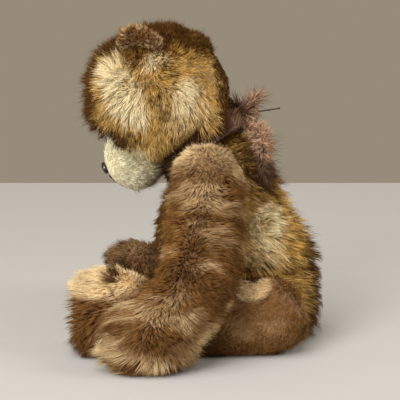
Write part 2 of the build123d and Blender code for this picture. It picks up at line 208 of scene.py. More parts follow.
def pile_material(name, root, middle, pale, tip, roughness=0.6):
    """Pile fibres: root to middle colour along each tuft, paler in pale patches, dark at the tips."""
    material, tree, shader = node_material(name, roughness)
    shader.inputs["Specular IOR Level"].default_value = 0.15
    along = attribute(tree, "along")
    tone = attribute(tree, "tone")
    patch = attribute(tree, "pale")
    tipped = attribute(tree, "tipped")
    body = mix_colour(tree, maths(tree, "MULTIPLY", along, 1.3, True), root, middle)
    body = mix_colour(tree, patch, body, pale)
    rise = maths(tree, "SUBTRACT", along, maths(tree, "SUBTRACT", 1.0, tipped))
    rise = maths(tree, "MULTIPLY", rise, 3.4, True)
    body = mix_colour(tree, rise, body, tip)
    shade = add_node(tree, "ShaderNodeHueSaturation")
    tree.links.new(body, shade.inputs["Color"])
    tree.links.new(maths(tree, "ADD", 0.68, maths(tree, "MULTIPLY", tone, 0.62)), shade.inputs["Value"])
    tree.links.new(shade.outputs["Color"], shader.inputs["Base Color"])
    return material


def noise_texture(tree, shader, scale, detail, strength, depth):
    """A noise in the object's own space, which also roughens the surface by depth metres."""
    noise = add_node(tree, "ShaderNodeTexNoise")
    noise.inputs["Scale"].default_value = scale
    noise.inputs["Detail"].default_value = detail
    place = add_node(tree, "ShaderNodeTexCoord").outputs["Object"]
    tree.links.new(place, noise.inputs["Vector"])
    bump = add_node(tree, "ShaderNodeBump")
    bump.inputs["Strength"].default_value = strength
    bump.inputs["Distance"].default_value = depth
    tree.links.new(noise.outputs["Fac"], bump.inputs["Height"])
    tree.links.new(bump.outputs["Normal"], shader.inputs["Normal"])
    return noise.outputs["Fac"]


def backing_material(name, dark, light, scale=900.0, pale=None):
    """The knitted backing and the dense foot of the pile, seen between the tufts."""
    material, tree, shader = node_material(name, 0.9, 0.2)
    noise = noise_texture(tree, shader, scale, 3.0, 0.5, 0.4 * MM)
    colour = mix_colour(tree, noise, dark, light)
    if pale:
        colour = mix_colour(tree, attribute(tree, "pale"), colour, pale)
    tree.links.new(colour, shader.inputs["Base Color"])
    return material


def speckled_material(name, dark, light, scale, roughness, metallic=0.0, coat=0.0, bump_mm=0.05):
    """A plain moulded, turned or pressed surface with fine uneven colour and a slight texture."""
    material, tree, shader = node_material(name, roughness, 0.0, coat, metallic)
    noise = noise_texture(tree, shader, scale, 4.0, 0.4, bump_mm * MM)
    tree.links.new(mix_colour(tree, noise, dark, light), shader.inputs["Base Color"])
    return material


LONG_PILE = pile_material(
    "long_tipped_pile", (0.48, 0.27, 0.058), (0.72, 0.45, 0.115), (1.0, 0.88, 0.59), (0.105, 0.042, 0.006))
SHORT_PILE = pile_material(
    "short_mottled_pile",
    (0.155, 0.064, 0.015), (0.30, 0.140, 0.036), (0.80, 0.62, 0.36), (0.095, 0.037, 0.008))
CREAM_PILE = pile_material(
    "short_cream_pile", (0.88, 0.78, 0.48), (0.96, 0.87, 0.57), (1.0, 0.95, 0.70), (0.45, 0.34, 0.19))
SCARF_PILE = pile_material(
    "scarf_eyelash_yarn",
    (0.055, 0.018, 0.008), (0.090, 0.034, 0.015), (0.78, 0.50, 0.32), (0.030, 0.010, 0.006), roughness=0.5)
LONG_BACKING = backing_material("long_pile_backing", (0.20, 0.11, 0.028), (0.42, 0.25, 0.075),
                                pale=(0.80, 0.64, 0.36))
SHORT_BACKING = backing_material("short_pile_backing", (0.12, 0.055, 0.018), (0.24, 0.12, 0.043),
                                 pale=(0.58, 0.38, 0.18))
CREAM_BACKING = backing_material("cream_pile_backing", (0.75, 0.65, 0.42), (0.92, 0.83, 0.58))
THREAD = backing_material("stitching_thread", (0.016, 0.010, 0.007), (0.045, 0.028, 0.020), 1500.0)
SCARF_KNIT = backing_material("scarf_knit", (0.02, 0.008, 0.006), (0.07, 0.03, 0.02), 700.0)
SUEDE = backing_material("sole_suede", (0.13, 0.07, 0.03), (0.22, 0.12, 0.06), 1500.0)
GLOSS_BLACK = speckled_material("glossy_black", (0.006, 0.005, 0.005), (0.014, 0.012, 0.011), 300, 0.12,
                                coat=0.6)
PIN_BLACK = speckled_material("pin_plastic", (0.003, 0.003, 0.003), (0.008, 0.007, 0.007), 900, 0.5)
ZINC = speckled_material("zinc_plated_steel", (0.42, 0.43, 0.45), (0.62, 0.62, 0.60), 400, 0.35, metallic=1.0)
HARDBOARD = speckled_material("hardboard", (0.20, 0.12, 0.06), (0.34, 0.22, 0.12), 1200, 0.8, bump_mm=0.15)
CALICO = speckled_material("calico", (0.60, 0.54, 0.42), (0.76, 0.70, 0.58), 1600, 0.9, bump_mm=0.15)
FILLING = speckled_material("fibre_filling", (0.74, 0.73, 0.70), (0.90, 0.89, 0.86), 500, 0.95, bump_mm=0.4)


# ---- Skins from the CAD covers ----


def add_object(name, data):
    """A new object of the scene."""
    made = bpy.data.objects.new(name, data)
    bpy.context.scene.collection.objects.link(made)
    return made


def mesh_object(name, points, faces, material):
    """A new mesh object with smooth faces."""
    mesh = bpy.data.meshes.new(name)
    mesh.from_pydata([tuple(p) for p in points], [], [tuple(f) for f in faces])
    mesh.materials.append(material)
    mesh.polygons.foreach_set("use_smooth", [True] * len(mesh.polygons))
    return add_object(name, mesh)


def apply_modifiers(piece):
    """Replaces a piece's mesh by the one its modifiers make, and removes them."""
    depsgraph = bpy.context.evaluated_depsgraph_get()
    mesh = bpy.data.meshes.new_from_object(piece.evaluated_get(depsgraph))
    piece.modifiers.clear()
    old = piece.data
    piece.data = mesh
    bpy.data.meshes.remove(old)


def keep_largest_part(piece):
    """Deletes every loose part but the one with the most points."""
    made = bmesh.new()
    made.from_mesh(piece.data)
    left = set(made.verts)
    parts = []
    while left:
        part = [left.pop()]
        for vert in part:
            joined = {edge.other_vert(vert) for edge in vert.link_edges} & left
            left -= joined
            part += joined
        parts.append(part)
    parts.sort(key=len)
    bmesh.ops.delete(made, geom=[vert for part in parts[:-1] for vert in part], context="VERTS")
    made.to_mesh(piece.data)
    made.free()


def plug(centre, radius):
    """An icosphere's points and faces, which closes a bolt hole before a skin is remeshed."""
    made = bmesh.new()
    bmesh.ops.create_icosphere(made, subdivisions=2, radius=radius)
    points = [np.array(vert.co) + centre for vert in made.verts]
    faces = [[vert.index for vert in face.verts] for face in made.faces]
    made.free()
    return points, faces


def skin(name, nodes, material, voxel, plugs=(), smooth=6):
    """One closed skin around CAD nodes: their meshes are joined, remeshed and smoothed."""
    points, faces = [], []
    meshes = [frame["nodes"][node].data for node in nodes]
    sources = [([v.co for v in mesh.vertices], [p.vertices[:] for p in mesh.polygons]) for mesh in meshes]
    for more_points, more_faces in sources + [plug(centre, radius) for centre, radius in plugs]:
        base = len(points)
        points += [tuple(p) for p in more_points]
        faces += [tuple(base + i for i in face) for face in more_faces]
    piece = mesh_object(name, points, faces, material)
    remesh = piece.modifiers.new("remesh", "REMESH")
    remesh.mode = "VOXEL"
    remesh.voxel_size = voxel
    remesh.use_smooth_shade = True
    relax = piece.modifiers.new("relax", "SMOOTH")
    relax.factor = 0.5
    relax.iterations = smooth
    apply_modifiers(piece)
    keep_largest_part(piece)
    return piece


PUFF_FRAMES = 20
PUFF_PRESSURE = 4
PUFF_START = 1.5 * MM  # how much smaller a skin is before it swells
PUFF_CAP = 2.0 * MM  # the most that a point may move from the skin it started from
PUFF_DIP = 0.3 * MM  # the most that it may end inside it
FLAT_DEPTH = 2.2  # mm from a joint's middle within which its flats have no pile
FLAT_REACH = {"torso": 18, "head": 21, "arm": 18, "leg": 25}  # mm, the radius of those flats


def vectors(mesh, key):
    """The points' places or normals of a mesh as rows."""
    values = np.empty(len(mesh.vertices) * 3, np.float32)
    mesh.vertices.foreach_get(key, values)
    return values.reshape(-1, 3).astype(float)


def puff(piece, held):
    """Swells a skin as its filling does, by a cloth simulation; held tells which points stay in place."""
    start, out = vectors(piece.data, "co"), vectors(piece.data, "normal")
    stays = held(start, out)
    group = piece.vertex_groups.new(name="held")
    group.add(np.flatnonzero(stays).tolist(), 1.0, "REPLACE")
    smaller = start - out * np.where(stays, 0, PUFF_START)[:, None]
    piece.data.vertices.foreach_set("co", smaller.reshape(-1))
    piece.data.update()
    cloth = piece.modifiers.new("puff", "CLOTH")
    cloth.settings.use_pressure = True
    cloth.settings.uniform_pressure_force = PUFF_PRESSURE
    cloth.settings.vertex_group_mass = "held"
    cloth.settings.effector_weights.gravity = 0
    cloth.settings.quality = 4
    cloth.point_cache.frame_start = 1
    cloth.point_cache.frame_end = PUFF_FRAMES
    for frame_number in range(1, PUFF_FRAMES + 1):
        bpy.context.scene.frame_set(frame_number)
    swollen = vectors(piece.evaluated_get(bpy.context.evaluated_depsgraph_get()).data, "co")
    piece.modifiers.clear()
    piece.vertex_groups.clear()
    moved = swollen - start
    inward = (moved * out).sum(1, keepdims=True)
    moved += out * np.maximum(0, -PUFF_DIP - inward)
    share = np.minimum(1, PUFF_CAP / np.maximum(np.linalg.norm(moved, axis=1, keepdims=True), 1e-9))
    piece.data.vertices.foreach_set("co", (start + moved * share).reshape(-1))
    piece.data.update()
    bpy.context.scene.frame_set(1)


def on_joints(points, body, reach, depth=5.0):
    """True for points near a body's joint: within reach of its axis and depth of its middle, in mm."""
    found = np.zeros(len(points), bool)
    for joint in JOINTS.values():
        if body in (joint["parent"], joint["child"]):
            axis = unit(np.array(joint["axis"], float))
            offset = points - np.array(joint["pos_m"])
            height = offset @ axis
            out = np.linalg.norm(offset - height[:, None] * axis, axis=1)
            found |= (np.abs(height) < depth * MM) & (out < reach * MM)
    return found


# ---- Pile ----
PIECE_TUFTS = 12000  # the most tufts in one piece of pile
BURY = 0.8 * MM  # how deep a tuft starts under the skin
FLATNESS = 0.55  # a tuft's thickness as a share of its width
GUARD_SHARE = 0.14  # of the tufts are longer, thinner hairs that stand out of the locks
PILE_LOW = np.array(cad_box[0]) - 14 * MM  # no tip reaches outside these corners
PILE_HIGH = np.array(cad_box[1]) + 14 * MM


def surface(piece):
    """Corners, corner normals and areas of a mesh's triangles."""
    mesh = piece.data
    mesh.calc_loop_triangles()
    corner = np.empty(len(mesh.loop_triangles) * 3, np.int32)
    mesh.loop_triangles.foreach_get("vertices", corner)
    corners = vectors(mesh, "co")[corner].reshape(-1, 3, 3)
    normals = vectors(mesh, "normal")[corner].reshape(-1, 3, 3)
    cross = np.cross(corners[:, 1] - corners[:, 0], corners[:, 2] - corners[:, 0])
    return corners, normals, np.linalg.norm(cross, axis=1) / 2


def scatter(piece, per_mm2, rng):
    """Random roots spread evenly over a piece, with the surface's normal at each."""
    corners, normals, areas = surface(piece)
    count = int(areas.sum() / MM**2 * per_mm2)
    chosen = rng.choice(len(areas), count, p=areas / areas.sum())
    r1, r2 = np.sqrt(rng.random(count)), rng.random(count)
    share = np.stack([1 - r1, r1 * (1 - r2), r1 * r2], axis=1)[:, :, None]
    return (corners[chosen] * share).sum(1), unit((normals[chosen] * share).sum(1))


def search_tree(points):
    tree = KDTree(len(points))
    for i, point in enumerate(points):
        tree.insert(point, i)
    tree.balance()
    return tree


def nearest(points, seeds):
    """For each point, the index of the nearest seed."""
    tree = search_tree(seeds)
    return np.array([tree.find(point)[1] for point in points])


def pile(name, body, material, roots, normals, flow, length, width, lean, rng,
         tone, pale, tipped, clump_tufts=12.0, clump=0.6, droop=0.15, curl=0.12, rings=(0.0, 0.4, 0.75)):
    """Grows one closed tapering tuft from every root and gathers them in a few pieces."""
    count = len(roots)
    guard = rng.random(count) < GUARD_SHARE
    length = np.broadcast_to(length, count) * (0.7 + 0.6 * rng.random(count)) * np.where(guard, 1.35, 1)
    width = np.broadcast_to(width, count) * np.where(guard, 0.45, 1)
    clump = np.where(guard, 0.35 * clump, clump)[:, None]
    flow = flow - normals * (flow * normals).sum(1, keepdims=True)
    strength = np.clip(np.linalg.norm(flow, axis=1), 0, 1)
    lean = (np.broadcast_to(lean, count) * strength)[:, None]
    flow = unit(flow)
    first = unit(normals * (1 - lean) + flow * lean + rng.normal(size=(count, 3)) * curl)
    second = unit(first + flow * 0.35 * (0.4 + lean) + np.array([0, 0, -droop])
                  + rng.normal(size=(count, 3)) * curl)
    start = roots - normals * BURY
    reach = length[:, None]
    middle = start + first * reach * 0.5
    tip = middle + second * reach * 0.5
    seeds = rng.choice(count, max(8, int(count / clump_tufts)), replace=False)
    home = seeds[nearest(roots, roots[seeds])]
    middle = middle + (middle[home] + (start - start[home]) * 0.6 - middle) * clump
    tip = tip + (tip[home] + (start - start[home]) * 0.15 - tip) * clump
    tone = np.clip(0.5 * tone + 0.5 * tone[home] + 0.22 * (rng.random(count)[home] - 0.5), 0, 1)
    tipped = 0.5 * tipped + 0.5 * tipped[home]
    wide = unit(np.cross(normals, flow) + rng.normal(size=(count, 3)) * 0.3)
    vary = 0.6 + 0.8 * rng.random(count)
    rows = []
    for t in rings:
        centre = (1 - t) ** 2 * start + 2 * t * (1 - t) * middle + t * t * tip
        ahead = unit((1 - t) * (middle - start) + t * (tip - middle))
        across = unit(wide - ahead * (wide * ahead).sum(1, keepdims=True))
        deep = np.cross(ahead, across)
        girth = (width * vary * (1 - t**1.6) * 0.5)[:, None]
        for angle in (pi / 2, pi * 7 / 6, pi * 11 / 6):
            rows.append(centre + across * girth * cos(angle) + deep * girth * FLATNESS * sin(angle))
    rows.append(tip)
    points = np.clip(np.stack(rows, axis=1), PILE_LOW, PILE_HIGH)
    points[:, :, 2] = np.maximum(points[:, :, 2], 0.4 * MM * (0.5 + rng.random((count, 1))))
    per = len(rows)
    last = len(rings) - 1
    faces = [(0, 2, 1)]
    for k in range(3):
        m = (k + 1) % 3
        for a in range(0, 3 * last, 3):
            faces += [(a + k, a + m, a + m + 3), (a + k, a + m + 3, a + k + 3)]
        faces.append((3 * last + k, 3 * last + m, per - 1))
    faces = np.array(faces)
    along = np.array([t for t in rings for _ in range(3)] + [1.0])
    around = np.array([-0.3, 0.0, 0.3] * len(rings) + [0.0])
    order = rng.permutation(count)
    parts = max(1, -(-count // PIECE_TUFTS))
    for part in range(parts):
        mine = order[part::parts]
        part_name = f"{name}_{part + 1}" if parts > 1 else name
        piece = tufts_object(part_name, points[mine], faces, material, along, around,
                             {"tone": tone[mine], "pale": pale[mine], "tipped": tipped[mine]})
        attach(piece, body)


def tufts_object(name, points, faces, material, along, around, values):
    """A mesh of equal tufts, with the values that its material reads and one small UV cell for each."""
    count, per = points.shape[:2]
    index = (faces[None] + per * np.arange(count)[:, None, None]).reshape(-1)
    mesh = bpy.data.meshes.new(name)
    mesh.vertices.add(count * per)
    mesh.vertices.foreach_set("co", points.reshape(-1).astype(np.float32))
    mesh.loops.add(len(index))
    mesh.loops.foreach_set("vertex_index", index.astype(np.int32))
    mesh.polygons.add(len(index) // 3)
    mesh.polygons.foreach_set("loop_start", np.arange(0, len(index), 3, dtype=np.int32))
    mesh.polygons.foreach_set("use_smooth", np.ones(len(index) // 3, bool))
    mesh.update(calc_edges=True)
    values = {key: np.repeat(value, per) for key, value in values.items()}
    for key, value in {"along": np.tile(along, count), **values}.items():
        layer = mesh.attributes.new(key, "FLOAT", "POINT")
        layer.data.foreach_set("value", value.astype(np.float32))
    cells = int(np.ceil(np.sqrt(count)))
    column, row = np.arange(count) % cells, np.arange(count) // cells
    u = (column[:, None] + 0.5 + around[None]) / cells
    v = (row[:, None] + 0.12 + 0.76 * along[None]) / cells
    uv = np.stack([u, v], axis=2).reshape(-1, 2)[index]
    mesh.uv_layers.new(name="OFBake").data.foreach_set("uv", uv.reshape(-1).astype(np.float32))
    mesh.materials.append(material)
    mesh.validate()
    return add_object(name, mesh)


def blob(points, centre, radius):
    """1 at centre, falling smoothly to 0 at radius; all in the same unit."""
    distance = np.linalg.norm((points - np.array(centre)) / np.array(radius), axis=1)
    return 1 - smoothstep(0.45, 1.0, distance)


def direction_noise(points, scale, seed):
    """Random vectors that change smoothly over about scale metres."""
    return np.stack([lattice_noise(points, scale, seed + i) for i in range(3)], axis=1) * 2 - 1


def paint(piece, pale):
    """Stores on a skin how pale the pile above it is; pale takes row points and gives a number for each."""
    values = np.clip(pale(vectors(piece.data, "co")), 0, 1).astype(np.float32)
    piece.data.attributes.new("pale", "FLOAT", "POINT").data.foreach_set("value", values)


def near_node(points, node, reach):
    """True for the points within reach of a CAD node's corners."""
    tree = search_tree([v.co for v in frame["nodes"][node].data.vertices])
    return np.array([tree.find(point)[2] < reach for point in points])


def shifted(joint_name, along):
    """A point on a joint's axis, at a distance in mm from its middle."""
    joint = JOINTS[joint_name]
    return np.array(joint["pos_m"]) + unit(np.array(joint["axis"], float)) * along * MM


# ---- Torso ----
WALL_MIDDLE = 2.0  # mm from a joint's middle plane to the middle of either cover
PLUG = 3.2 * MM
rng = np.random.default_rng(7)

torso_plugs = [(shifted("neck_turn", -WALL_MIDDLE), PLUG)]
for side, sign in SIDE_SIGNS.items():
    for joint in ("shoulder", "hip"):
        torso_plugs.append((shifted(f"{side}_{joint}_swing", -sign * WALL_MIDDLE), PLUG))
torso = skin("torso_skin", ["torso_cover", "torso_stuffing"], LONG_BACKING, 3 * MM, torso_plugs)
puff(torso, lambda co, out: (np.abs(co[:, 0]) < 2.5 * MM) | (co[:, 2] < 3 * MM) | on_joints(co, "torso", 28))
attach(torso, "torso")
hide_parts("torso_cover")

TORSO_PALE = np.array([37, 24, 101]) * MM  # a brushed-open place low on each side of the back


def torso_pale(points):
    place = folded_offset(points)
    noise = lattice_noise(points, 9 * MM, 3)
    pale = 1.4 * blob(place, (38, 22, 101), (28, 17, 25)) + 0.6 * blob(place, (38, 18, 80), (26, 18, 18))
    return np.clip(pale * (0.5 + 0.9 * noise), 0, 0.95)


def torso_pile():
    roots, normals = scatter(torso, 0.8, rng)
    keep = ~on_joints(roots, "torso", FLAT_REACH["torso"], FLAT_DEPTH) & (roots[:, 2] > 1.5 * MM)
    roots, normals = roots[keep], normals[keep]
    place = folded_offset(roots)
    back = smoothstep(-5, 25, place[:, 1])
    open_place = blob(place, TORSO_PALE / MM, (30, 24, 24))
    flow = np.stack([np.full(len(roots), 0.1), 0.75 * back, np.full(len(roots), -0.75)], axis=1)
    flow += unit(place - TORSO_PALE / MM) * 0.6 * open_place[:, None]
    flow *= (1 - 0.5 * open_place)[:, None]
    flow[:, 0] *= np.sign(roots[:, 0])
    flow += 0.65 * direction_noise(roots, 11 * MM, 50)
    noise = lattice_noise(roots, 9 * MM, 3)
    pale = torso_pale(roots)
    tone = np.clip(rng.normal(0.62, 0.22, len(roots)), 0, 1)
    pale = np.clip(pale + 0.3 * (rng.random(len(roots)) < 0.25), 0, 1)
    tipped = 0.25 + 0.6 * (noise - 0.5) - 0.2 * pale + 0.42 * smoothstep(36, 54, place[:, 1])
    # The first term is painted shade: the front of the torso, under the arms, gets darker tips.
    tipped += 0.45 * smoothstep(5, -20, place[:, 1]) + 0.25 * smoothstep(118, 140, place[:, 2])
    tipped = np.clip(tipped + 0.1 * rng.normal(size=len(roots)), 0.02, 0.97)
    beside_limb = smoothstep(30, 42, place[:, 0]) * smoothstep(30, 0, place[:, 1])
    length = (11 + 8 * back - 5 * open_place) * (1 - 0.35 * beside_limb)
    pile("torso_pile", "torso", LONG_PILE, roots, normals, flow, length * MM, 1.2 * MM,
         0.6 - 0.2 * back, rng, tone, pale, tipped, clump_tufts=14, clump=0.58, curl=0.17)


torso_pile()
paint(torso, torso_pale)


# ---- Head ----
GUSSET = 28 * MM  # from the middle to the seams along the top of the head
head = skin("head_skin", ["head_cover", "head_stuffing"], LONG_BACKING, 3 * MM,
            [(shifted("neck_turn", WALL_MIDDLE), PLUG)])
puff(head, lambda co, out: (np.abs(np.abs(co[:, 0]) - GUSSET) < 2 * MM) | on_joints(co, "head", 30))
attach(head, "head")
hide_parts("head_cover")

# How the head's pile lies, seen from the side: a place back of and above the head's centre, in mm, then
# the way that the tips point there, back and up. It stands straight out where these cancel.
HEAD_FLOW = np.array([
    (-57, 16, -0.9, 0.3), (-50, 34, -0.7, 0.6), (-38, 29, -0.25, 0.75), (-34, 10, -0.15, -0.15),
    (-48, -4, -0.9, -0.4), (-36, -8, -0.3, -0.75), (-18, -12, 0.45, -0.8), (-22, 22, 0.45, -0.75),
    (-6, 2, 0.25, -0.9), (8, 21, 0.85, 0.0), (35, 18, 0.9, -0.35), (20, 2, 0.35, -0.5),
    (12, -14, -0.35, -0.9), (35, -10, 0.5, -0.9), (-8, -30, 0.2, -1.0), (-34, -30, -0.2, -0.9),
    (54, 8, 0.3, -1.0), (48, 30, 0.5, -0.7), (-20, 50, -0.3, 0.8), (8, 52, 0.1, 0.8), (28, 46, 0.45, 0.5),
    (-6, 31, 0.3, -0.8), (-54, -14, -1.0, -0.7), (25, -34, 0.4, -1.0), (46, -20, 0.7, -0.8),
])
EAR_STREAK = np.array([[-27, 35], [2, 5], [5, -17]])  # back and up: where the two brushed places meet
MUZZLE = np.array([0, 52.7, -23.0])  # side, forward and up


def distance_to_line(points, line):
    """How far each row point is from a line of corners."""
    best = np.full(len(points), np.inf)
    for a, b in zip(line[:-1], line[1:]):
        share = np.clip((points - a) @ (b - a) / ((b - a) @ (b - a)), 0, 1)
        best = np.minimum(best, np.linalg.norm(points - a - share[:, None] * (b - a), axis=1))
    return best


def ear_streak(spot):
    """1 on the darker line that runs down from the ear, where the two brushed places meet."""
    return smoothstep(8, 3, distance_to_line(spot[:, 1:], EAR_STREAK)) * smoothstep(20, 32, spot[:, 0])


def head_pale(points):
    spot = folded_offset(points, HEAD_CENTRE)
    noise = lattice_noise(points, 9 * MM, 11)
    slant = spot[:, 1] + 0.35 * (spot[:, 2] - 5)
    oval = np.stack([spot[:, 0], slant, spot[:, 2]], axis=1)
    pale = 1.9 * blob(oval, (42, -26, 6), (42, 18, 29)) + 0.85 * blob(spot, (50, 16, 5), (32, 13, 16))
    pale += 0.8 * blob(spot, (38, -5, 31), (24, 12, 10)) + 0.35 * blob(spot, (50, 18, -4), (32, 24, 28))
    pale = np.clip(pale * (0.6 + 0.6 * noise) * (1 - 0.4 * ear_streak(spot)), 0, 1)
    return np.maximum(pale, cheek(spot) * (0.6 + 0.6 * noise))


def cheek(spot):
    """1 on the short cream pile of the head around the muzzle, below the fringe."""
    return smoothstep(-31, -36, spot[:, 2]) * smoothstep(-8, -17, spot[:, 1])


def scarf_gap(points):
    """How far points are from the middle line of the scarf's ring, in mm."""
    offset = points - NECK
    height = offset @ NECK_UP
    out = np.linalg.norm(offset - height[:, None] * NECK_UP, axis=1)
    return np.hypot(height, out - RING_RADIUS) / MM


def head_pile():
    roots, normals = scatter(head, 1.15, rng)
    place = in_head(roots)
    from_muzzle = np.linalg.norm(place - MUZZLE, axis=1)
    eye_gap = np.minimum(*(np.linalg.norm(place - eye, axis=1) for eye in (EYE, EYE * MIRRORED)))
    keep = ~on_joints(roots, "head", FLAT_REACH["head"], FLAT_DEPTH) & (from_muzzle > 22) & (eye_gap > 5.7)
    roots, normals, place = roots[keep], normals[keep], place[keep]
    from_muzzle, eye_gap = from_muzzle[keep], eye_gap[keep]
    side = np.sign(roots[:, 0])
    spot = folded_offset(roots, HEAD_CENTRE)
    back, up = spot[:, 1], spot[:, 2]
    gap = np.linalg.norm(spot[:, None, 1:] - HEAD_FLOW[None, :, :2], axis=2)
    weight = np.exp(-((gap / 11) ** 2)) + 1e-6
    tips = (weight[:, :, None] * HEAD_FLOW[None, :, 2:]).sum(1) / weight.sum(1, keepdims=True)
    flow = np.concatenate([np.full((len(roots), 1), 0.1), tips], axis=1)
    nape = smoothstep(10, 35, back) * smoothstep(30, 5, up)
    high = smoothstep(30, 46, up)
    brow = blob(spot, (2, -54, -6), (14, 14, 12))
    crown = blob(spot, (14, 31, 45), (34, 13, 14))
    flow[:, 0] *= side
    flow = flow + 0.45 * direction_noise(roots, 12 * MM, 60)
    eyes = np.where(side[:, None] > 0, from_head(*EYE), from_head(*EYE * MIRRORED))
    parted = smoothstep(17, 9, eye_gap)[:, None]
    flow = flow * (1 - parted) + unit(roots - eyes) * parted
    fine = lattice_noise(roots, 5 * MM, 12)
    pale = head_pale(roots)
    tone = np.clip(rng.normal(0.55, 0.2, len(roots)), 0, 1)
    rim = smoothstep(-40, -50, back) + smoothstep(27, 42, up) * smoothstep(-45, -20, back)
    rim = np.clip(rim + smoothstep(34, 47, back) + smoothstep(22, 34, up) * smoothstep(-22, -38, back), 0, 1)
    pale = np.clip(pale + 0.35 * (rng.random(len(roots)) < 0.25) * (1 - rim), 0, 1)
    tipped = 0.22 + 0.55 * (fine - 0.5) - 0.22 * pale + 0.58 * rim + 0.10 * ear_streak(spot)
    tipped += 0.5 * blob(spot, (30, -34, -27), (46, 24, 12))
    # Painted shade: the tips darken round the eyes, which sit deep in the pile.
    tipped = np.clip(tipped + 0.35 * parted[:, 0] + 0.08 * rng.normal(size=len(roots)), 0.0, 0.97)
    rear = smoothstep(12, 34, back) * smoothstep(-8, 6, up)
    length = 12.5 + 4 * smoothstep(-25, -45, back) - 7.5 * rear + 4 * brow + 2 * nape - 3 * high + 6 * crown
    length -= 7 * smoothstep(38, 26, from_muzzle)
    length = np.minimum(length, 4 + 11 * smoothstep(8, 20, eye_gap))
    length = np.where(cheek(spot) > 0.5, 6.5, length)
    clear = 2.5 + 0.7 * np.maximum(scarf_gap(roots) - 15, 0)
    length = np.where((spot[:, 0] > 14) & (back < 30), np.minimum(length, clear), length)
    lean = 0.6 + 0.25 * rear - 0.2 * high - 0.2 * smoothstep(-40, -52, back) - 0.1 * crown
    pile("head_pile", "head", LONG_PILE, roots, normals, flow, length * MM, 1.1 * MM, lean, rng,
         tone, pale, tipped, clump_tufts=11, clump=0.45, curl=0.15)


head_pile()
paint(head, head_pale)


# ---- Arms and legs ----


def mottle(place, seed):
    """Uneven light and dark places of the short pile, longer across the limb than along it."""
    large = lattice_noise(place * np.array([0.7, 0.5, 1.3]), 13, seed)
    small = lattice_noise(place * np.array([1, 0.7, 1.6]), 6, seed + 1)
    return 0.6 * large + 0.4 * small


def paw_share(place):
    return np.clip(smoothstep(-66, -92, place[:, 1]) + smoothstep(26, 8, place[:, 2]), 0, 1)


def arm_pale(points):
    place = folded_offset(points)
    spots = mottle(place, ARM_SEED)
    paw = paw_share(place)
    pale = 0.5 * smoothstep(0.45, 0.75, spots)
    # Painted highlight: the top of the arm, lit from above, is paler.
    pale += 0.65 * smoothstep(140, 162, place[:, 2]) * (0.6 + 0.6 * spots)
    pale += 0.8 * paw * smoothstep(0.25, 0.7, spots)
    pale += 0.45 * blob(place, (122, -50, 27), (30, 26, 18))
    return np.clip(pale - 0.6 * blob(place, (129, -58, 36), (40, 12, 11)), 0, 0.8)


def arm_flow(place):
    paw = paw_share(place)
    middle = np.interp(place[:, 2], (10, 60, 130, 160), (-78, -50, -25, -25))
    across = np.clip((place[:, 1] - middle) / 20, -1.2, 1.0)
    flow = np.stack([np.full(len(place), 0.2), across, np.full(len(place), -0.35)], axis=1)
    return flow + np.array([0, -1.1, -0.3]) * paw[:, None]


def leg_pale(points):
    place = folded_offset(points)
    spots = mottle(place, LEG_SEED)
    foot = smoothstep(-78, -105, place[:, 1])
    right = points[:, 0] < 0
    pale = 0.2 * smoothstep(0.55, 0.85, spots) + 0.4 * foot * smoothstep(0.5, 0.8, spots)
    shown = 1.6 * blob(place, (80, -110, 67), (60, 46, 24)) + 2.4 * blob(place, (80, 10, 60), (36, 20, 16))
    # Painted shade: the pale places are taken out in the foot's and the thigh's hollows and along the hip's
    # crease.
    pale += shown * (1 - leg_hollow_shade(place))
    # Painted shade: on the right leg, which lies in the body's shadow, the pale places are dimmed to a
    # quarter.
    return np.clip(pale, 0, 1) * np.where(right, 0.25, 1)


def leg_hollow_shade(place):
    """1 in the hollows of the foot's and the thigh's pale places and along the crease at the hip, where shade
    is painted.
    """
    dimples = 1.2 * blob(place, (88, -97, 63), (30, 7, 6)) + 1.2 * blob(place, (72, 14, 61), (12, 7, 6))
    return np.clip(dimples + blob(place, (66, 26, 60), (10, 26, 5)), 0, 1)


def leg_flow(place):
    foot = smoothstep(-78, -105, place[:, 1])
    top = smoothstep(30, 55, place[:, 2])
    flow = np.array([0.15, -0.6, -0.45]) * np.ones((len(place), 1))
    return flow + np.array([0, -0.3, 0.55]) * (foot * top)[:, None]


SOLE_MIDDLE_X, SOLE_MIDDLE_Z = 71 * MM, 34 * MM
SOLE_HALF_WIDTH, SOLE_HALF_HEIGHT = 15 * MM, 19 * MM


def on_sole(points, normals, grow):
    """True for points under the oval patch on the front of a foot, with its size times grow."""
    across = (np.abs(points[:, 0]) - SOLE_MIDDLE_X) / (SOLE_HALF_WIDTH * grow)
    up = (points[:, 2] - SOLE_MIDDLE_Z) / (SOLE_HALF_HEIGHT * grow)
    return (across**2 + up**2 < 1) & (normals[:, 1] < -0.2)


def add_sole(side, foot):
    """An oval suede patch that follows the front of the foot, its edge set a little lower."""
    rings, spokes = 9, 48
    rise = 0.9 * MM
    points = []
    for ring in range(rings + 1):
        share = ring / rings
        for spoke in range(spokes if ring else 1):
            angle = 2 * pi * spoke / spokes
            x = SIDE_SIGNS[side] * SOLE_MIDDLE_X + SOLE_HALF_WIDTH * share * cos(angle)
            z = SOLE_MIDDLE_Z + SOLE_HALF_HEIGHT * share * sin(angle)
            hit, place, normal, _ = foot.ray_cast((x, -0.3, z), (0, 1, 0))
            points.append(np.array(place) + np.array(normal) * rise * (1 - 0.6 * share**8))
    faces = [(0, 1 + k, 1 + (k + 1) % spokes) for k in range(spokes)]
    for ring in range(1, rings):
        base, out = 1 + (ring - 1) * spokes, 1 + ring * spokes
        faces += [(base + k, out + k, out + (k + 1) % spokes, base + (k + 1) % spokes) for k in range(spokes)]
    sole = mesh_object(f"{side}_sole", points, faces, SUEDE)
    thick = sole.modifiers.new("thick", "SOLIDIFY")
    thick.thickness = 1.0 * MM
    thick.offset = -1
    apply_modifiers(sole)
    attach(sole, f"{side}_leg")
    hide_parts(f"{side}_foot_pad")


ARM_SEED, LEG_SEED = 21, 31


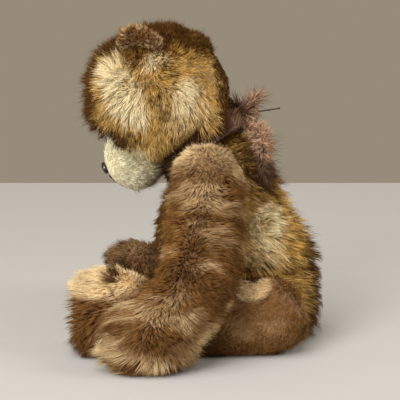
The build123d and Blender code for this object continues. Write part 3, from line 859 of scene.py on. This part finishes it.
def limb_pile(limb, side, piece):
    arm = limb == "arm"
    roots, normals = scatter(piece, 1.0 if arm else 0.85, rng)
    keep = ~on_joints(roots, f"{side}_{limb}", FLAT_REACH[limb], FLAT_DEPTH) & (roots[:, 2] > 1.2 * MM)
    if not arm:
        keep &= ~on_sole(roots, normals, 0.95)
    roots, normals = roots[keep], normals[keep]
    place = folded_offset(roots)
    spots = mottle(place, ARM_SEED if arm else LEG_SEED)
    if arm:
        flow, pale = arm_flow(place), arm_pale(roots)
        length = 10 + 5 * paw_share(place) - 3.5 * smoothstep(140, 160, place[:, 2])
    else:
        foot = smoothstep(-78, -105, place[:, 1])
        flow, length, pale = leg_flow(place), 5.5 + 6.5 * foot, leg_pale(roots)
    flow[:, 0] *= SIDE_SIGNS[side]
    flow += 0.45 * direction_noise(roots, 11 * MM, ARM_SEED + 5)
    # Painted shade: the legs' pile is darkened in tone and at the tips, the left leg a little and the right
    # one, shaded by the body, more.
    shade = 0.0 if arm else 0.12 if side == "left" else 0.3
    tone = np.clip(0.3 + 0.55 * spots - shade + 0.25 * pale + rng.normal(0, 0.13, len(roots)), 0, 1)
    tipped = 0.26 - 0.26 * pale + 0.6 * (0.5 - spots) + 0.5 * shade
    if not arm:
        # Painted shade: the tips darken in the leg's hollows and along the hip's crease.
        tipped += 0.6 * leg_hollow_shade(place)
    tipped = np.clip(tipped + 0.1 * rng.normal(size=len(roots)), 0.01, 0.9)
    pile(f"{side}_{limb}_pile", f"{side}_{limb}", SHORT_PILE, roots, normals, flow,
         length * MM, 0.9 * MM, 0.7, rng, tone, pale, tipped, clump_tufts=10, clump=0.4, curl=0.1,
         rings=(0.0, 0.5), droop=0.1)


limb_skins = {}
for side, sign in SIDE_SIGNS.items():
    for limb, joint in (("arm", "shoulder"), ("leg", "hip")):
        covers = [node for node in BODIES[f"{side}_{limb}"] if node.endswith("_cover")]
        body = f"{side}_{limb}"
        piece = skin(f"{body}_skin", covers + [f"{body}_stuffing"], SHORT_BACKING, 3 * MM,
                     [(shifted(f"{side}_{joint}_swing", sign * WALL_MIDDLE), PLUG)])
        puff(piece, lambda co, out: (np.abs(out[:, 0]) < 0.12) | (co[:, 2] < 3 * MM)
             | on_joints(co, body, 28))
        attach(piece, body)
        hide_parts(*covers)
        limb_skins[side, limb] = piece
        limb_pile(limb, side, piece)
        paint(piece, arm_pale if limb == "arm" else leg_pale)
        if limb == "leg":
            add_sole(side, piece)


# ---- Muzzle and ears ----
muzzle = skin("muzzle_skin", ["muzzle_cover", "muzzle_stuffing"], CREAM_BACKING, 2 * MM)
puff(muzzle, lambda co, out: (np.abs(co[:, 0]) < 2 * MM) | (np.linalg.norm(in_head(co), axis=1) < 56))
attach(muzzle, "head")
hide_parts("muzzle_cover")


def muzzle_pile():
    roots, normals = scatter(muzzle, 2.2, rng)
    place = in_head(roots)
    outside = np.linalg.norm(place, axis=1) > 54
    keep = outside & ~near_node(roots, "nose", 2.2 * MM) & ~near_node(roots, "mouth_stitching", 1.6 * MM)
    roots, normals, place = roots[keep], normals[keep], place[keep]
    flow = from_head_flow(unit(place - np.array([0, 82, -16])))
    flow = flow + 0.3 * direction_noise(roots, 8 * MM, 70)
    count = len(roots)
    mottle = lattice_noise(roots, 6 * MM, 75)
    tone = np.clip(0.45 + 0.25 * mottle + rng.normal(0, 0.1, count), 0, 1)
    # Painted shade: the back of the muzzle, where it meets the head, is less pale and its tips are darker.
    muzzle_back_shade = smoothstep(62, 44, place[:, 1])
    pale = np.clip(0.9 - 0.9 * muzzle_back_shade + 0.3 * (mottle - 0.5), 0, 1)
    tipped = np.clip(0.04 + 0.35 * muzzle_back_shade * (1 - mottle) + 0.05 * rng.normal(size=count), 0, 1)
    nose_gap = np.linalg.norm(place - np.array([0, 77, -14]), axis=1)
    length = 6.5 + 2.5 * smoothstep(10, 26, nose_gap) - 3.7 * smoothstep(14, 7, nose_gap)
    pile("muzzle_pile", "head", CREAM_PILE, roots, normals, flow, length * MM, 1.0 * MM, 0.78,
         rng, tone, pale, tipped, clump_tufts=12, clump=0.3, rings=(0.0, 0.5), curl=0.1)


muzzle_pile()

for side in SIDE_SIGNS:
    ear = skin(f"{side}_ear_skin", [f"{side}_ear"], SHORT_BACKING, 1.2 * MM, smooth=4)
    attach(ear, "head")
    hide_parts(f"{side}_ear")
    roots, normals = scatter(ear, 1.8, rng)
    place = in_head(roots)
    keep = np.linalg.norm(place, axis=1) > 57
    roots, normals, place = roots[keep], normals[keep], place[keep]
    flow = from_head_flow(unit(place))
    mottle = lattice_noise(roots, 6 * MM, 41)
    low = smoothstep(67, 59, np.linalg.norm(place, axis=1))
    pale = np.clip(smoothstep(0.5, 0.8, mottle) * 0.45 + low * 0.45, 0, 1)
    tone = np.clip(0.3 + 0.4 * mottle + rng.normal(0, 0.2, len(roots)), 0, 1)
    tipped = np.clip(0.3 - 0.25 * pale + 0.1 * rng.normal(size=len(roots)), 0, 0.9)
    pile(f"{side}_ear_pile", "head", SHORT_PILE, roots, normals, flow, 6.5 * MM, 0.8 * MM,
         0.5, rng, tone, pale, tipped, clump_tufts=12, clump=0.6, rings=(0.0, 0.5))


# ---- Nose and eyes ----


def add_nose():
    """A moulded nose with two nostrils pressed in."""
    nose = skin("nose_shell", ["nose"], GLOSS_BLACK, 0.5 * MM, smooth=8)
    low, high = (np.array(corner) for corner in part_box("nose"))
    middle = (low + high) / 2
    for vert in nose.data.vertices:
        for side in (-1, 1):
            nostril = middle + np.array([side * 3.4, -2.6, -1.6]) * MM
            gap = np.linalg.norm(np.array(vert.co) - nostril) / MM
            vert.co += Vector(np.array([-0.2 * side, 0.9, 0.4]) * MM * float(1 - smoothstep(0.6, 2.4, gap)))
    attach(nose, "head")
    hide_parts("nose")


def eye_material(side):
    """A glass eye: black pupil, brown iris and black round it, by the angle from where it looks."""
    material, tree, shader = node_material(f"{side}_glass_eye", 0.06, 0.0, 1.0)
    out = unit(EYE if side == "left" else EYE * MIRRORED)
    place = from_head(*(out * 54))
    gaze = np.array([out[0], 0, 0]) + FACE * out[1] + NECK_UP * out[2]
    spot = add_node(tree, "ShaderNodeTexCoord").outputs["Object"]
    steps = []
    for operation, other in (("SUBTRACT", place), ("NORMALIZE", None), ("DOT_PRODUCT", gaze)):
        node = add_node(tree, "ShaderNodeVectorMath", operation=operation)
        tree.links.new(steps[-1].outputs["Vector"] if steps else spot, node.inputs[0])
        if other is not None:
            node.inputs[1].default_value = other
        steps.append(node)
    ramp = add_node(tree, "ShaderNodeValToRGB")
    for element, position in zip(ramp.color_ramp.elements, (0.60, 0.92)):
        element.position = position
        element.color = (0.004, 0.003, 0.003, 1)
    for position, colour in ((0.66, (0.05, 0.02, 0.006, 1)), (0.84, (0.12, 0.05, 0.014, 1))):
        ramp.color_ramp.elements.new(position).color = colour
    tree.links.new(steps[-1].outputs["Value"], ramp.inputs["Fac"])
    tree.links.new(ramp.outputs["Color"], shader.inputs["Base Color"])
    return material


add_nose()
EYE_MATERIALS = {f"{side}_eye": eye_material(side) for side in SIDE_SIGNS}


# ---- Scarf ----
SCARF_THICK = 0.9 * MM
NAPE = -FACE  # in the neck's plane, towards the back
KNOT_CENTRE = NECK - NECK_UP * 2 * MM + NAPE * 41 * MM


def smooth_route(corners, count):
    """A smooth line near the corners, as row points in metres."""
    corners = np.array(corners) * MM
    at = np.linspace(0, 1, len(corners))
    degree = min(3, len(corners) - 1)
    steps = np.linspace(0, 1, count)
    return np.stack([np.polyval(np.polyfit(at, corners[:, i], degree), steps) for i in range(3)], axis=1)


def folded_strip(name, node, route, across, half, depth, layers):
    """A knitted strip folded into layers along a route, wide in the direction across."""
    count, columns = len(route), 10 * layers + 1
    along = unit(np.gradient(route, axis=0))
    across = unit(across - along * (across * along).sum(1, keepdims=True))
    deep = np.cross(along, across)
    u = np.linspace(0, 1, count)[:, None]
    v = np.linspace(-1, 1, columns)[None]
    side = half * (1 + 0.10 * np.sin(9 * u + 2)) * np.sin(layers * pi / 2 * v + 0.25 * np.sin(13 * u))
    out = depth * (v + 0.18 * np.sin(17 * u + 5 * v))
    points = route[:, None] + across[:, None] * side[:, :, None] + deep[:, None] * out[:, :, None]
    faces = [(r * columns + c, r * columns + c + 1, (r + 1) * columns + c + 1, (r + 1) * columns + c)
             for r in range(count - 1) for c in range(columns - 1)]
    cloth = mesh_object(name, points.reshape(-1, 3), faces, SCARF_KNIT)
    thick = cloth.modifiers.new("thick", "SOLIDIFY")
    thick.thickness = SCARF_THICK
    thick.offset = 0
    apply_modifiers(cloth)
    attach(cloth, "torso")
    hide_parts(node)
    return cloth


def lashes(name, cloth, flow, density, length, width, pinkness, lean=0.55, clump=0.5, curl=0.22):
    """The loose fibres of the scarf's yarn; pinkness takes row points and gives 0 to 1."""
    roots, normals = scatter(cloth, density, rng)
    count = len(roots)
    flow = np.broadcast_to(flow(roots) if callable(flow) else flow, (count, 3))
    flow = flow + 0.9 * direction_noise(roots, 6 * MM, 90)
    pale = np.clip(pinkness(roots) * (0.4 + 1.1 * (rng.random(count) > 0.35)), 0, 1)
    tone = rng.random(count)
    tipped = np.clip(0.25 * rng.random(count) * (1 - pale), 0, 1)
    pile(name, "torso", SCARF_PILE, roots, normals, flow, length * MM, width * MM, lean, rng,
         tone, pale, tipped, clump_tufts=8, clump=clump, curl=curl, rings=(0.0, 0.5), droop=0.0)


def none_pink(points):
    return np.zeros(len(points))


def towards_knot(points):
    """The way along the ring to its knot, and up over the head's pile on both sides."""
    out = unit(points - NECK)
    to_knot = unit(KNOT_CENTRE - points)
    up = 0.2 + 1.0 * smoothstep(12 * MM, 26 * MM, np.abs(points[:, :1]))
    return unit(to_knot - out * (to_knot * out).sum(1, keepdims=True)) + NECK_UP * up


def down_and_back(points):
    """The long end's fibres arch backward at its top and hang down below."""
    top = smoothstep(155 * MM, 168 * MM, points[:, 2])[:, None]
    return np.array([0.4, 0.9, 0.1]) * top + np.array([0.3, 0.2, -1.0]) * (1 - top)


def scarf_end(end, corners, count, across, half, depth):
    """One end of the scarf, hanging from the knot."""
    route = smooth_route(corners, count)
    return folded_strip(f"scarf_{end}_strip", f"scarf_{end}_end", route, np.array(across), half, depth,
                        3)


def add_scarf():
    angles = np.linspace(radians(12), radians(348), 90)[:, None]
    spoke = NAPE * np.cos(angles) + np.array([1.0, 0, 0]) * np.sin(angles)
    rise = 2.5 - 5 * np.maximum(np.cos(angles), 0)
    ring = NECK + NECK_UP * rise * MM + spoke * RING_RADIUS
    band = folded_strip("scarf_band_strip", "scarf_band", ring, NECK_UP, 5.4 * MM, 3.2 * MM, 5)
    lashes("scarf_band_lashes", band, towards_knot, 0.7, 11, 0.8,
           lambda p: 0.3 * smoothstep(-12 * MM, 5 * MM, p[:, 1]), lean=0.8)

    corners = [(9, 12, 177), (17, 20, 172), (23, 22, 160), (26, 23, 147), (27, 24, 134)]
    long_end = scarf_end("long", corners, 30, (1.0, -0.5, 0), 7.0 * MM, 2.6 * MM)
    # The lashes' pink is the yarn's own; its rise towards the top of the long end is a painted highlight.
    lashes("scarf_long_lashes", long_end, down_and_back, 1.1, 11, 0.65,
           lambda p: 0.12 + 0.7 * smoothstep(146 * MM, 168 * MM, p[:, 2]), lean=0.75, clump=0.7, curl=0.4)
    lashes("scarf_long_whiskers", long_end, np.array([0.3, 0.9, -0.3]), 0.06, 18, 0.3, none_pink,
           lean=0.4, clump=0.1)

    corners = [(-1, 9, 193), (0, 13.5, 198.2), (1, 16.5, 201.5)]
    short_end = scarf_end("short", corners, 10, (1.0, 0, 0), 6.0 * MM, 1.8 * MM)
    lashes("scarf_short_lashes", short_end, np.array([0.0, 0.75, 0.7]), 0.7, 14, 0.42,
           lambda p: np.full(len(p), 0.6), lean=0.8, clump=0.65, curl=0.35)
    lashes("scarf_short_whiskers", short_end, np.array([0.0, 0.6, 1.2]), 0.12, 18, 0.3, none_pink,
           lean=0.5, clump=0.1)

    knot = skin("scarf_knot_folds", ["scarf_knot"], SCARF_KNIT, 1.0 * MM, smooth=2)
    crease(knot, KNOT_CENTRE, 0.9 * MM)
    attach(knot, "torso")
    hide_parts("scarf_knot")
    lashes("scarf_knot_lashes", knot, np.array([0.3, 0.8, -0.4]), 1.1, 13, 0.7,
           lambda p: 0.55 * smoothstep(0, 12 * MM, p[:, 1]), lean=0.7)


def crease(piece, centre, depth):
    """Presses slanting folds into a round piece."""
    for vert in piece.data.vertices:
        out = np.array(vert.co) - centre
        swing = np.arctan2(out[0], out[1]) * 3 + out[2] / MM * 0.35
        vert.co = centre + out * (1 + depth * sin(swing) / np.linalg.norm(out))


add_scarf()


# ---- Materials of the pieces that stay as the CAD has them ----
SLOT_MATERIALS = {
    "filling": FILLING,
    "calico": CALICO,
    "hardboard": HARDBOARD,
    "zinc_steel": ZINC,
    "black_plastic": PIN_BLACK,
    "nose_black": GLOSS_BLACK,
    "stitching_thread": THREAD,
    "eye_glass": GLOSS_BLACK,
    "suede": SUEDE,
}
for entry in RECORD["subparts"]:
    node = frame["nodes"][entry["node"]]
    material = EYE_MATERIALS.get(entry["node"]) or SLOT_MATERIALS.get(entry["material_slot"])
    if material and not node.hide_render:
        node.data.materials.clear()
        node.data.materials.append(material)


# ---- Stage, light and camera ----
FLOOR_OUTLINE = [(-1.2, -3.0), (1.6, -3.0), (1.6, 3.0), (-1.2, 3.0)]
FLOOR_DROP = 0.2 * MM


def lay_floor():
    corners = [(x, y, -FLOOR_DROP) for x, y in FLOOR_OUTLINE]
    material = speckled_material("pale_floor", (0.62, 0.615, 0.61), (0.65, 0.645, 0.64), 30, 0.6)
    floor = mesh_object("floor", corners, [(0, 1, 2, 3)], material)


LIT_POINT = Vector((0, -0.03, 0.12))


def add_lamp(name, kind, power, colour, aim, place=(0, 0, 0), **settings):
    """A lamp that shines along aim; the settings are its light data's."""
    data = bpy.data.lights.new(name, kind)
    data.energy = power
    data.color = colour
    for key, value in settings.items():
        setattr(data, key, value)
    lamp = add_object(name, data)
    lamp.location = place
    lamp.rotation_euler = Vector(aim).to_track_quat("-Z", "Y").to_euler()


def light_scene():
    world = bpy.data.worlds.new("studio")
    bpy.context.scene.world = world
    world.use_nodes = True
    background = world.node_tree.nodes["Background"]
    background.inputs["Color"].default_value = (0.31, 0.262, 0.196, 1)
    background.inputs["Strength"].default_value = 1.0
    add_lamp("ceiling", "SUN", 1.7, (1.0, 0.985, 0.96), (-0.55, 0.25, -1.0), angle=radians(50))
    for name, place, size, power, colour in (
        ("front", (1.3, -0.7, 0.55), 0.7, 15, (1.0, 0.98, 0.95)),
        ("back", (0.5, 1.1, 0.9), 0.6, 5, (1.0, 0.97, 0.92)),
    ):
        add_lamp(name, "AREA", power, colour, LIT_POINT - Vector(place), place, shape="DISK", size=size)
    bpy.context.scene.view_settings.view_transform = "Standard"


CAMERA_DISTANCE = 1.0
CAMERA_ELEVATION = radians(7.0)
CAMERA_TARGET = Vector((0, -30 * MM, 115 * MM))
VIEW_WIDTH = 340 * MM  # what the picture spans at the target's distance


def place_camera():
    data = bpy.data.cameras.new("camera")
    data.sensor_width = 36.0
    data.lens = data.sensor_width * CAMERA_DISTANCE / VIEW_WIDTH
    data.clip_start = 0.01
    camera = add_object("camera", data)
    towards_camera = Vector((cos(CAMERA_ELEVATION), 0, sin(CAMERA_ELEVATION)))
    camera.location = CAMERA_TARGET + towards_camera * CAMERA_DISTANCE
    camera.rotation_euler = (CAMERA_TARGET - camera.location).to_track_quat("-Z", "Y").to_euler()
    bpy.context.scene.camera = camera


lay_floor()
light_scene()
place_camera()
